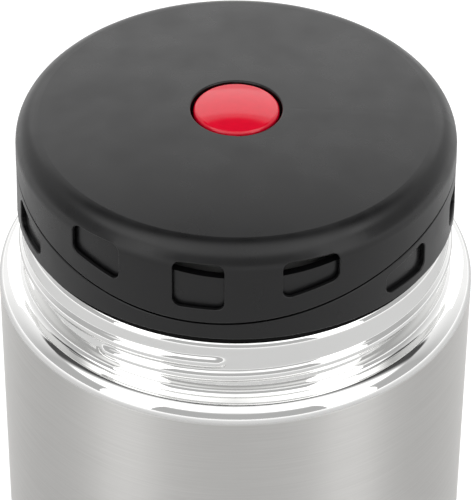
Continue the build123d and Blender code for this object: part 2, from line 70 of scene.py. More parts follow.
# floor: a disc just under the foot; a lift brings it up to white for the camera, and in
# reflections only further from the jar than these two distances
FLOOR_RADIUS = 4.0
FLOOR_GAP = 0.02 * MM
FLOOR_LIFT = 0.5
FLOOR_LIFT_FROM = 0.35
FLOOR_LIFT_FULL = 1.1

# room, where a level of 1 is white; the walls are brighter behind the jar than in front of it
WALL_FRONT = 0.5
WALL_BACK = 1.06
WALL_BACK_REACH = 0.65
# the ceiling is lit from the front up to overhead, more at its sides, and dark behind that
CEILING_MIDDLE = 1.25
CEILING_SIDE = 2.8
CEILING_BACK = 0.08
CEILING_LIT_UP_TO = math.radians(81)
CEILING_DARK_FROM = math.radians(113)
# sine of the elevation where the walls end and where the ceiling begins, each in front and behind
CORNICE = ((0.52, 0.735), (0.74, 0.76))
CORNICE_TURN = 0.3

# softboxes: azimuth and elevation in degrees, distance, width and height in metres, watts
LAMP_TARGET = (0, 0, 0.13)
LAMPS = {
    "left_softbox": (-47, 17, 1.4, 0.6, 1.0, 2.5),
    "right_softbox": (51, 17, 1.4, 0.6, 1.0, 2.5),
    "back_softbox": (180, 33, 1.5, 2.0, 0.7, 3.8),
}


# ---------------------------------------------------------------- sizes and colours
class FoodJarShell(bpy.types.PropertyGroup):
    """Drawn outer shell of the jar, as an outline that is turned round the axis"""

    rim: bpy.props.FloatProperty(
        name="Rim",
        description="Height of the rim",
        default=150 * MM,
        unit="LENGTH",
    )
    rim_round: bpy.props.FloatProperty(
        name="Rim Round", description="Outer edge of the rim", default=1.8 * MM, unit="LENGTH"
    )
    weld: bpy.props.FloatProperty(
        name="Weld",
        description="Radius at which the shell meets the vessel",
        default=45.75 * MM,
        unit="LENGTH",
    )
    neck: bpy.props.FloatProperty(
        name="Neck", description="Radius of the neck", default=47.65 * MM, unit="LENGTH"
    )
    neck_fillet: bpy.props.FloatProperty(
        name="Neck Fillet", description="Round between neck and shoulder", default=1.5 * MM, unit="LENGTH"
    )
    body: bpy.props.FloatProperty(
        name="Body", description="Radius of the body", default=53.25 * MM, unit="LENGTH"
    )
    shoulder: bpy.props.FloatProperty(
        name="Shoulder", description="Height of the shoulder", default=135.75 * MM, unit="LENGTH"
    )
    shoulder_round: bpy.props.FloatProperty(
        name="Shoulder Round",
        description="Round between shoulder and body",
        default=3.4 * MM,
        unit="LENGTH",
    )
    foot: bpy.props.FloatProperty(
        name="Foot", description="Height of the shell's lowest point", default=1.2 * MM, unit="LENGTH"
    )
    foot_round: bpy.props.FloatProperty(
        name="Foot Round", description="Round under the body", default=4 * MM, unit="LENGTH"
    )
    hem: bpy.props.FloatProperty(
        name="Hem", description="Radius of the turned-in hem", default=47.6 * MM, unit="LENGTH"
    )
    hem_round: bpy.props.FloatProperty(
        name="Hem Round", description="Round at the hem", default=1 * MM, unit="LENGTH"
    )
    hem_top: bpy.props.FloatProperty(
        name="Hem Top", description="Height of the hem's edge", default=5 * MM, unit="LENGTH"
    )
    wall: bpy.props.FloatProperty(
        name="Wall",
        description="Sheet thickness",
        default=0.6 * MM,
        unit="LENGTH",
    )
    segments: bpy.props.IntProperty(
        name="Segments",
        description="Steps round the shell",
        default=360,
        min=24,
    )


class FoodJarThread(bpy.types.PropertyGroup):
    """Rolled thread on the neck, for a cup lid"""

    starts: bpy.props.IntProperty(name="Starts", description="Number of ridges", default=2, min=1)
    lead: bpy.props.FloatProperty(
        name="Lead", description="Rise of a ridge in one turn", default=7.4 * MM, unit="LENGTH"
    )
    top: bpy.props.FloatProperty(
        name="Top", description="Height of a ridge's upper end", default=144.7 * MM, unit="LENGTH"
    )
    turn: bpy.props.FloatProperty(
        name="Turn", description="Angle that a ridge runs", default=math.radians(212), unit="ROTATION"
    )
    azimuth: bpy.props.FloatProperty(
        name="Azimuth",
        description="Upper end of the first ridge",
        default=math.radians(-5),
        unit="ROTATION",
    )
    height: bpy.props.FloatProperty(
        name="Height", description="Ridge above the neck", default=0.9 * MM, unit="LENGTH"
    )
    crest: bpy.props.FloatProperty(
        name="Crest", description="Radius of the ridge's rounded crest", default=1.75 * MM, unit="LENGTH"
    )
    root: bpy.props.FloatProperty(
        name="Root", description="Radius of the hollow at the ridge's root", default=0.7 * MM, unit="LENGTH"
    )
    step: bpy.props.FloatProperty(
        name="Step",
        description="Height of a mesh row where the thread is",
        default=0.17 * MM,
        unit="LENGTH",
    )


class FoodJarSteel(bpy.types.PropertyGroup):
    """Stainless steel of the jar"""

    mirror: bpy.props.StringProperty(
        name="Buffed",
        description="Buffed neck, as sRGB hex",
        default="#EEEEED",
    )
    satin: bpy.props.StringProperty(
        name="Brushed",
        description="Brushed body, as sRGB hex",
        default="#D8D7D5",
    )
    streak: bpy.props.StringProperty(
        name="Streaks",
        description="Darker lines, as sRGB hex",
        default="#CBCAC8",
    )
    polish: bpy.props.FloatProperty(
        name="Polish",
        description="Roughness of the buffed neck",
        default=0.05,
        min=0.0,
        max=1.0,
        subtype="FACTOR",
    )
    brush: bpy.props.FloatProperty(
        name="Brush",
        description="Roughness of the brushed body",
        default=0.5,
        min=0.0,
        max=1.0,
        subtype="FACTOR",
    )
    polish_edge: bpy.props.FloatProperty(
        name="Polish Edge", description="Height where the brushing stops", default=132.3 * MM, unit="LENGTH"
    )


class FoodJarStopper(bpy.types.PropertyGroup):
    """Moulded plastics, rubber and foam of the stopper and of the base"""

    black: bpy.props.StringProperty(
        name="Black",
        description="Stopper's shell, as sRGB hex",
        default="#0B0B0C",
    )
    red: bpy.props.StringProperty(name="Red", description="Push button, as sRGB hex", default="#D6062A")
    grey: bpy.props.StringProperty(name="Grey", description="Plug, as sRGB hex", default="#A9A9A7")
    # the rim gasket's near-black is black rubber plus painted shade of the gap under the stopper ring, darker
    # than rubber is
    rubber: bpy.props.StringProperty(
        name="Rubber",
        description="Rim gasket, as sRGB hex",
        default="#060606",
    )
    silicone: bpy.props.StringProperty(name="Silicone", description="Seals, as sRGB hex", default="#DDDBD4")
    foam: bpy.props.StringProperty(name="Foam", description="Insulation, as sRGB hex", default="#ECEBE6")


class FoodJarSmallParts(bpy.types.PropertyGroup):
    """Metal and glass parts inside the jar and the stopper"""

    foil: bpy.props.StringProperty(name="Foil", description="Heat foil, as sRGB hex", default="#D9D9D9")
    getter: bpy.props.StringProperty(name="Getter", description="Getter pill, as sRGB hex", default="#6E6E70")
    glass: bpy.props.StringProperty(name="Glass", description="Seal bead, as sRGB hex", default="#6E7B75")
    plated: bpy.props.StringProperty(
        name="Plated",
        description="Screws and valve clip, as sRGB hex",
        default="#B9B8B4",
    )
    wire: bpy.props.StringProperty(name="Wire", description="Spring wire, as sRGB hex", default="#A5A4A2")


class FoodJarSpring(bpy.types.PropertyGroup):
    """Coil spring under the push button"""

    wire: bpy.props.FloatProperty(name="Wire", description="Wire diameter", default=0.9 * MM, unit="LENGTH")
    coil: bpy.props.FloatProperty(
        name="Coil", description="Radius to the middle of the wire", default=6.6 * MM, unit="LENGTH"
    )
    turns: bpy.props.FloatProperty(name="Turns", description="Turns of the coil", default=4.0, min=1.0)
    travel: bpy.props.FloatProperty(
        name="Travel", description="How far the button shortens it", default=3 * MM, unit="LENGTH"
    )


class FoodJarStage(bpy.types.PropertyGroup):
    """Camera, floor and light"""

    distance: bpy.props.FloatProperty(
        name="Distance", description="Camera in front of the jar's axis", default=0.5554, unit="LENGTH"
    )
    height: bpy.props.FloatProperty(
        name="Height",
        description="Camera over the floor",
        default=0.5798,
        unit="LENGTH",
    )
    tilt: bpy.props.FloatProperty(
        name="Tilt", description="Camera's angle below level", default=math.radians(38.54), unit="ROTATION"
    )
    roll: bpy.props.FloatProperty(
        name="Roll",
        description="Camera's turn about its own line of sight",
        default=math.radians(0.387),
        unit="ROTATION",
    )
    lens: bpy.props.FloatProperty(
        name="Lens",
        description="Focal length in millimetres",
        default=227.0,
        min=10.0,
    )
    floor: bpy.props.StringProperty(
        name="Floor",
        description="Paper on the floor, as sRGB hex",
        default="#D3D3D3",
    )


# ---------------------------------------------------------------- tools
def linear(colour):
    """Linear colour with alpha from an sRGB hex value."""
    steps = [int(colour[i : i + 2], 16) / 255 for i in (1, 3, 5)]
    return (*(s / 12.92 if s <= 0.04045 else ((s + 0.055) / 1.055) ** 2.4 for s in steps), 1.0)


def add_node(tree, kind, sockets=None, **settings):
    """Adds a shader node, sets it, and gives each named input a value or a link."""
    node = tree.nodes.new(kind)
    for name, value in settings.items():
        setattr(node, name, value)
    for name, value in (sockets or {}).items():
        if isinstance(value, bpy.types.NodeSocket):
            tree.links.new(value, node.inputs[name])
        else:
            node.inputs[name].default_value = value
    return node


def start_material(name):
    """New empty material; returns it, its node tree and Object coordinates."""
    material = bpy.data.materials.new(name)
    material.use_nodes = True
    tree = material.node_tree
    tree.nodes.clear()
    place = add_node(tree, "ShaderNodeTexCoord").outputs["Object"]
    return material, tree, place


def finish_material(tree, shader):
    """Leads a shader to the material's surface."""
    add_node(tree, "ShaderNodeOutputMaterial", {"Surface": shader.outputs[0]})


def give(material, *nodes):
    """Puts a material on CAD nodes, in the slot that each has."""
    for name in nodes:
        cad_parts[name].material_slots[0].material = material


def arc(centre_radius, centre_height, radius, start, end, steps):
    """Points of an outline's arc; angles in degrees, from outwards towards upwards."""
    angles = [math.radians(start + (end - start) * i / steps) for i in range(steps + 1)]
    return [(centre_radius + radius * math.cos(a), centre_height + radius * math.sin(a)) for a in angles]


def lathe(name, outline, segments):
    """Turns an outline of (radius, height) points round the axis, one extruded loop after another."""
    bpy.ops.object.select_all(action="DESELECT")
    radius, height = outline[0]
    bpy.ops.mesh.primitive_circle_add(
        vertices=segments, radius=radius, fill_type="NOTHING", location=(0, 0, height)
    )
    piece = bpy.context.object
    piece.name = name
    piece.data.name = name
    bpy.ops.object.transform_apply(location=True, rotation=True, scale=True)
    bpy.ops.object.mode_set(mode="EDIT")
    bpy.ops.mesh.select_all(action="SELECT")
    for next_radius, next_height in outline[1:]:
        bpy.ops.mesh.extrude_region_move(TRANSFORM_OT_translate={"value": (0, 0, next_height - height)})
        factor = next_radius / radius
        bpy.ops.transform.resize(value=(factor, factor, 1), center_override=(0, 0, next_height))
        radius, height = next_radius, next_height
    bpy.ops.mesh.select_all(action="SELECT")
    bpy.ops.mesh.remove_doubles(threshold=MERGE)
    bpy.ops.mesh.normals_make_consistent(inside=False)
    bpy.ops.object.mode_set(mode="OBJECT")
    return piece


# ---------------------------------------------------------------- materials
def make_steel(steel):
    """Stainless sheet: the body lathe-brushed, the neck and shoulder buffed.

    The brushing lines run round the jar, so the body spreads its reflections upwards and
    downwards into soft upright bands, while the buffed neck shows them sharp.
    """
    material, tree, place = start_material("brushed_and_buffed_stainless")
    height = add_node(tree, "ShaderNodeSeparateXYZ", {"Vector": place}).outputs["Z"]
    # the brushing fades out over a millimetre
    edge = {"From Min": steel.polish_edge - 0.6 * MM, "From Max": steel.polish_edge + 0.4 * MM}
    buffed = add_node(tree, "ShaderNodeMapRange", {"Value": height, **edge}).outputs["Result"]
    # lines 0.06 mm wide on the real jar, drawn 0.35 mm wide so that they show
    around = {"Vector": place, "Scale": (0.02, 0.02, 1.0)}
    stretch = add_node(tree, "ShaderNodeMapping", around).outputs["Vector"]
    lines = add_node(
        tree,
        "ShaderNodeTexNoise",
        {"Vector": stretch, "Scale": 1 / (0.35 * MM), "Detail": 3.0, "Roughness": 0.6},
    ).outputs["Fac"]
    # uneven brushing and faint hand marks, 15 mm across
    patches = add_node(tree, "ShaderNodeTexNoise", {"Vector": place, "Scale": 1 / (15 * MM)}).outputs["Fac"]
    rough_lines = add_node(
        tree,
        "ShaderNodeMapRange",
        {"Value": lines, "To Min": steel.brush - 0.06, "To Max": steel.brush + 0.06},
    ).outputs["Result"]
    rough_patches = add_node(
        tree,
        "ShaderNodeMapRange",
        {"Value": patches, "To Min": steel.polish - 0.02, "To Max": steel.polish + 0.02},
    ).outputs["Result"]
    roughness = add_node(
        tree, "ShaderNodeMapRange", {"Value": buffed, "To Min": rough_lines, "To Max": rough_patches}
    ).outputs["Result"]
    streaks = add_node(
        tree,
        "ShaderNodeMix",
        {"Factor": lines, MIX_A: linear(steel.satin), MIX_B: linear(steel.streak)},
        data_type="RGBA",
    ).outputs[MIX_RESULT]
    colour = add_node(
        tree,
        "ShaderNodeMix",
        {"Factor": buffed, MIX_A: streaks, MIX_B: linear(steel.mirror)},
        data_type="RGBA",
    ).outputs[MIX_RESULT]
    bump = add_node(tree, "ShaderNodeBump", {"Height": lines, "Strength": 0.12, "Distance": 0.002 * MM})
    # rings that spinning and buffing leave on the neck and shoulder, 1.5 mm apart
    rings = add_node(tree, "ShaderNodeTexNoise", {"Vector": stretch, "Scale": 1 / (1.5 * MM), "Detail": 1.0})
    ringed = add_node(
        tree,
        "ShaderNodeBump",
        {
            "Height": rings.outputs["Fac"],
            "Strength": buffed,
            "Distance": 0.04 * MM,
            "Normal": bump.outputs["Normal"],
        },
    )
    tangent = add_node(tree, "ShaderNodeTangent", direction_type="RADIAL", axis="Z")
    shader = add_node(
        tree,
        "ShaderNodeBsdfPrincipled",
        {
            "Base Color": colour,
            "Metallic": 1.0,
            "Roughness": roughness,
            "Anisotropic": 0.9,
            "Anisotropic Rotation": 0.25,
            "Tangent": tangent.outputs["Tangent"],
            "Normal": ringed.outputs["Normal"],
        },
    )
    finish_material(tree, shader)
    return material


def make_moulded(name, colour, roughness, grain, depth, specular=0.5, spread=0.05):
    """Injection-moulded plastic or rubber: the pits of its spark-eroded mould and slightly
    uneven gloss from filling and handling, over one even colour.
    """
    material, tree, place = start_material(name)
    pits = add_node(tree, "ShaderNodeTexNoise", {"Vector": place, "Scale": 1 / grain, "Detail": 3.0})
    flow = add_node(tree, "ShaderNodeTexNoise", {"Vector": place, "Scale": 1 / (9 * MM), "Detail": 2.0})
    gloss = add_node(
        tree,
        "ShaderNodeMapRange",
        {
            "Value": flow.outputs["Fac"],
            "From Min": 0.3,
            "From Max": 0.7,
            "To Min": roughness - spread,
            "To Max": roughness + spread,
        },
    )
    value = add_node(tree, "ShaderNodeMapRange", {"Value": pits.outputs["Fac"], "To Min": 0.9, "To Max": 1.1})
    shade = add_node(
        tree, "ShaderNodeHueSaturation", {"Color": linear(colour), "Value": value.outputs["Result"]}
    )
    bump = add_node(
        tree, "ShaderNodeBump", {"Height": pits.outputs["Fac"], "Strength": 0.3, "Distance": depth}
    )
    shader = add_node(
        tree,
        "ShaderNodeBsdfPrincipled",
        {
            "Base Color": shade.outputs["Color"],
            "Roughness": gloss.outputs["Result"],
            "Specular IOR Level": specular,
            "Normal": bump.outputs["Normal"],
        },
    )
    finish_material(tree, shader)
    return material


def make_silicone(colour):
    """Moulded clear silicone rubber: milky, a little light passes through, dust-dull skin."""
    material, tree, place = start_material("moulded_clear_silicone")
    dust = add_node(tree, "ShaderNodeTexNoise", {"Vector": place, "Scale": 1 / (0.8 * MM), "Detail": 4.0})
    gloss = add_node(
        tree, "ShaderNodeMapRange", {"Value": dust.outputs["Fac"], "To Min": 0.28, "To Max": 0.5}
    )
    bump = add_node(
        tree, "ShaderNodeBump", {"Height": dust.outputs["Fac"], "Strength": 0.2, "Distance": 0.01 * MM}
    )
    shader = add_node(
        tree,
        "ShaderNodeBsdfPrincipled",
        {
            "Base Color": linear(colour),
            "Roughness": gloss.outputs["Result"],
            "IOR": 1.41,
            "Transmission Weight": 0.35,
            "Subsurface Weight": 0.3,
            "Subsurface Scale": 2 * MM,
            "Normal": bump.outputs["Normal"],
        },
    )
    finish_material(tree, shader)
    return material


def make_foam(colour):
    """Expanded foam cut from a block: closed cells about 0.8 mm across, no gloss."""
    material, tree, place = start_material("expanded_foam")
    cells = add_node(tree, "ShaderNodeTexVoronoi", {"Vector": place, "Scale": 1 / (0.8 * MM)})
    shade = add_node(
        tree,
        "ShaderNodeMapRange",
        {"Value": cells.outputs["Distance"], "From Max": 0.7, "To Min": 1.04, "To Max": 0.86},
    )
    tint = add_node(
        tree, "ShaderNodeHueSaturation", {"Color": linear(colour), "Value": shade.outputs["Result"]}
    )
    bump = add_node(
        tree,
        "ShaderNodeBump",
        {"Height": cells.outputs["Distance"], "Strength": 0.6, "Distance": 0.15 * MM},
        invert=True,
    )
    shader = add_node(
        tree,
        "ShaderNodeBsdfPrincipled",
        {"Base Color": tint.outputs["Color"], "Roughness": 0.9, "Normal": bump.outputs["Normal"]},
    )
    finish_material(tree, shader)
    return material


def make_metal(name, colour, roughness, size, depth, stretch=(1.0, 1.0, 1.0)):
    """Small bare metal part: an uneven machined, drawn, rolled or sintered skin."""
    material, tree, place = start_material(name)
    along = add_node(tree, "ShaderNodeMapping", {"Vector": place, "Scale": stretch})
    skin = add_node(
        tree, "ShaderNodeTexNoise", {"Vector": along.outputs["Vector"], "Scale": 1 / size, "Detail": 4.0}
    )
    gloss = add_node(
        tree,
        "ShaderNodeMapRange",
        {"Value": skin.outputs["Fac"], "To Min": roughness - 0.1, "To Max": roughness + 0.1},
    )
    value = add_node(tree, "ShaderNodeMapRange", {"Value": skin.outputs["Fac"], "To Min": 0.8, "To Max": 1.1})
    shade = add_node(
        tree, "ShaderNodeHueSaturation", {"Color": linear(colour), "Value": value.outputs["Result"]}
    )
    bump = add_node(
        tree, "ShaderNodeBump", {"Height": skin.outputs["Fac"], "Strength": 0.5, "Distance": depth}
    )
    shader = add_node(
        tree,
        "ShaderNodeBsdfPrincipled",
        {
            "Base Color": shade.outputs["Color"],
            "Metallic": 1.0,
            "Roughness": gloss.outputs["Result"],
            "Normal": bump.outputs["Normal"],
        },
    )
    finish_material(tree, shader)
    return material


# ---------------------------------------------------------------- operators
class FOODJAR_OT_shell(bpy.types.Operator):
    """Turns the steel shell, rolls its thread and finishes the steel jar"""

    bl_idname = "foodjar.shell"
    bl_label = "Steel Shell"

    def execute(self, context):
        shell = context.scene.foodjar_shell
        thread = context.scene.foodjar_thread
        piece = lathe("steel_shell", self.outline(shell, thread), shell.segments)
        self.roll_thread(piece, shell, thread)
        bpy.ops.object.shade_smooth_by_angle(angle=SMOOTH)
        steel = make_steel(context.scene.foodjar_steel)
        piece.data.materials.append(steel)
        give(steel, "inner_liner", "outer_base")
        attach(piece, "jar")
        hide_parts("outer_shell")
        return {"FINISHED"}

    def thread_rows(self, shell, thread):
        """Heights of the mesh rows on the neck, from the rim down to the fillet."""
        top = shell.rim - shell.rim_round
        bottom = shell.shoulder + shell.neck_fillet
        count = math.ceil((top - bottom) / thread.step)
        return [top + (bottom - top) * i / count for i in range(count + 1)]

    def outline(self, shell, thread):
        """Closed outline of the sheet: outside from the rim down, then back up inside."""
        wall = shell.wall
        neck_centre = shell.neck + shell.neck_fillet
        neck_end = shell.shoulder + shell.neck_fillet
        rim_centre = shell.neck - shell.rim_round
        rim_height = shell.rim - shell.rim_round
        body_top = shell.shoulder - shell.shoulder_round
        body_centre = shell.body - shell.shoulder_round
        foot_centre = shell.body - shell.foot_round
        foot_height = shell.foot + shell.foot_round
        hem_centre = shell.hem + shell.hem_round
        hem_height = shell.foot + shell.hem_round
        bands = 12
        body_rows = [body_top + (foot_height - body_top) * i / bands for i in range(1, bands)]
        return [
            (shell.weld, shell.rim),
            *arc(rim_centre, rim_height, shell.rim_round, 90, 0, steps=12),
            *[(shell.neck, z) for z in self.thread_rows(shell, thread)[1:-1]],
            *arc(neck_centre, neck_end, shell.neck_fillet, 180, 270, steps=10),
            *arc(body_centre, body_top, shell.shoulder_round, 90, 0, steps=20),
            *[(shell.body, z) for z in body_rows],
            *arc(foot_centre, foot_height, shell.foot_round, 0, -90, steps=12),
            *arc(hem_centre, hem_height, shell.hem_round, 270, 180, steps=6),
            (shell.hem, shell.hem_top),
            (shell.hem + wall, shell.hem_top),
            *arc(hem_centre, hem_height, shell.hem_round - wall, 180, 270, steps=4),
            *arc(foot_centre, foot_height, shell.foot_round - wall, -90, 0, steps=8),
            *arc(body_centre, body_top, shell.shoulder_round - wall, 0, 90, steps=8),
            *arc(neck_centre, neck_end, shell.neck_fillet + wall, 270, 180, steps=6),
            *arc(rim_centre, rim_height, shell.rim_round - wall, 0, 90, steps=6),
            (shell.weld, shell.rim - wall),
            (shell.weld, shell.rim),
        ]

    def ridge_height(self, shell, thread, azimuth, height):
        """Ridge's share of its full height at a place on the neck; its ends are rounded off."""
        stretch = 1.4  # how much longer than wide a ridge's end is
        flank = math.acos(1 - thread.height / (thread.crest + thread.root))
        crest_reach = thread.crest * math.sin(flank)
        reach = crest_reach + thread.root * math.sin(flank)
        share = 0.0
        for start in range(thread.starts):
            upper = thread.azimuth + 2 * math.pi * start / thread.starts
            for turn in (-1, 0, 1):
                along = azimuth + 2 * math.pi * turn
                nearest = min(max(along, upper - thread.turn + reach / shell.neck), upper)
                ridge = thread.top + thread.lead * (nearest - upper) / (2 * math.pi)
                off = math.hypot((along - nearest) * shell.neck / stretch, height - ridge)
                if off < crest_reach:
                    raised = thread.height - thread.crest + math.sqrt(thread.crest**2 - off**2)
                elif off < reach:
                    raised = thread.root - math.sqrt(thread.root**2 - (reach - off) ** 2)
                else:
                    raised = 0.0
                share = max(share, raised / thread.height)
        return share

    def roll_thread(self, piece, shell, thread):
        """Pushes the neck's outer face out where a ridge runs."""
        rows = self.thread_rows(shell, thread)
        top = rows[1] + 0.01 * MM
        bottom = rows[-2] - 0.01 * MM
        near = 0.1 * MM
        group = piece.vertex_groups.new(name="ridges")
        for vertex in piece.data.vertices:
            x, y, z = vertex.co
            if z > top or z < bottom or abs(math.hypot(x, y) - shell.neck) > near:
                continue
            share = self.ridge_height(shell, thread, math.atan2(x, -y), z)
            if share > 0:
                group.add([vertex.index], share, "REPLACE")
        bulge = piece.modifiers.new("roll", "DISPLACE")
        bulge.direction = "NORMAL"
        bulge.mid_level = 0.0
        bulge.strength = thread.height
        bulge.vertex_group = group.name
        bpy.ops.object.modifier_apply(modifier=bulge.name)
        piece.vertex_groups.clear()


class FOODJAR_OT_base(bpy.types.Operator):
    """Finishes what closes the jar below: cover, foil, getter and glass bead"""

    bl_idname = "foodjar.base"
    bl_label = "Base and Vacuum Parts"

    def execute(self, context):
        black = context.scene.foodjar_stopper.black
        small = context.scene.foodjar_small_parts
        # polypropylene from a coarser mould than the stopper's, as undersides are
        cover = make_moulded(
            "moulded_black_polypropylene", black, roughness=0.48, grain=0.5 * MM, depth=0.02 * MM
        )
        give(cover, "base_cover")
        # crumpled aluminium foil, folds a few millimetres apart
        foil = make_metal("rolled_aluminium_foil", small.foil, roughness=0.2, size=4 * MM, depth=0.3 * MM)
        give(foil, "foil_wrap")
        # sintered powder, grey and dull
        powder = make_metal(
            "sintered_getter_powder", small.getter, roughness=0.7, size=0.3 * MM, depth=0.05 * MM
        )
        give(powder, "getter")
        # solder glass, melted and cooled with a skin of small bubbles
        glass = make_moulded(
            "fused_solder_glass", small.glass, roughness=0.14, grain=0.6 * MM, depth=0.03 * MM
        )
        give(glass, "vacuum_seal_bead")
        return {"FINISHED"}


class FOODJAR_OT_stopper(bpy.types.Operator):
    """Finishes the stopper's moulded shell, its gasket and its push button"""

    bl_idname = "foodjar.stopper"
    bl_label = "Stopper Shell"

    def execute(self, context):
        stopper = context.scene.foodjar_stopper
        # polypropylene from a fine satin mould: soft-edged highlights
        black = make_moulded(
            "moulded_black_satin_plastic",
            stopper.black,
            roughness=0.3,
            grain=0.25 * MM,
            depth=0.004 * MM,
            specular=0.42,
        )
        give(black, "stopper_cap", "grip_ring", "inner_sleeve")
        # silicone rubber, dull; its near-black colour and low specular are partly painted shade of the gap
        # under the stopper ring
        rubber = make_moulded(
            "black_rubber_with_painted_gap_shade",
            stopper.rubber,
            roughness=0.7,
            grain=0.3 * MM,
            depth=0.01 * MM,
            specular=0.1,
        )
        give(rubber, "rim_gasket")
        # gloss ABS from a polished mould, only a trace of waviness 2 mm across
        red = make_moulded(
            "moulded_gloss_red_abs", stopper.red, roughness=0.1, grain=2 * MM, depth=0.01 * MM, spread=0.02
        )
        give(red, "push_button")
        return {"FINISHED"}


class FOODJAR_OT_plug(bpy.types.Operator):
    """Finishes the plug, its insulation, seals, screws and valve clip"""

    bl_idname = "foodjar.plug"
    bl_label = "Plug and Valve"

    def execute(self, context):
        stopper = context.scene.foodjar_stopper
        # food-grade polypropylene, satin
        grey = make_moulded(
            "moulded_grey_polypropylene", stopper.grey, roughness=0.36, grain=0.3 * MM, depth=0.008 * MM
        )
        give(grey, "plug_body", "plug_base", "valve_stem", "valve_disc")
        give(make_silicone(stopper.silicone), "main_seal", "valve_seal")
        give(make_foam(stopper.foam), "insulation_foam")
        # zinc-plated and tumbled steel: dull, slightly uneven
        plated = context.scene.foodjar_small_parts.plated
        steel = make_metal("plated_screw_steel", plated, roughness=0.32, size=0.5 * MM, depth=0.01 * MM)
        give(steel, "cap_screws", "valve_clip")
        return {"FINISHED"}


class FOODJAR_OT_spring(bpy.types.Operator):
    """Winds the button's spring at the length of the frame's spring part; it does not shorten with the button
    """

    bl_idname = "foodjar.spring"
    bl_label = "Button Spring"

    def execute(self, context):
        spring = context.scene.foodjar_spring
        low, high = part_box("valve_spring")
        height = high[2] - low[2]
        radius = spring.wire / 2
        steps_per_turn = 48
        bpy.ops.object.select_all(action="DESELECT")
        bpy.ops.mesh.primitive_circle_add(
            vertices=20,
            radius=radius,
            fill_type="NOTHING",
            location=(spring.coil, 0, low[2] + radius),
            rotation=(math.pi / 2, 0, 0),
        )
        piece = bpy.context.object
        piece.name = "button_spring"
        piece.data.name = "button_spring"
        bpy.ops.object.transform_apply(location=True, rotation=True, scale=True)
        wind = piece.modifiers.new("wind", "SCREW")
        wind.axis = "Z"
        wind.angle = 2 * math.pi * spring.turns
        wind.screw_offset = height - spring.wire
        wind.steps = round(steps_per_turn * spring.turns)
        wind.render_steps = wind.steps
        bpy.ops.object.modifier_apply(modifier=wind.name)
        bpy.ops.object.mode_set(mode="EDIT")
        bpy.ops.mesh.select_all(action="SELECT")
        bpy.ops.mesh.remove_doubles(threshold=0.001 * MM)
        bpy.ops.mesh.fill_holes(sides=0)
        bpy.ops.mesh.normals_make_consistent(inside=False)
        bpy.ops.object.mode_set(mode="OBJECT")
        bpy.ops.object.shade_smooth_by_angle(angle=SMOOTH)
        # drawn wire, its marks stretched along the coil's level run
        wire = make_metal(
            "drawn_spring_wire",
            context.scene.foodjar_small_parts.wire,
            roughness=0.28,
            size=0.2 * MM,
            depth=0.008 * MM,
            stretch=(0.15, 0.15, 1.0),
        )
        piece.data.materials.append(wire)
        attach(piece, "stopper")
        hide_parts("valve_spring")
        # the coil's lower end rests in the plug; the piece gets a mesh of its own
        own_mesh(piece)
        return {"FINISHED"}


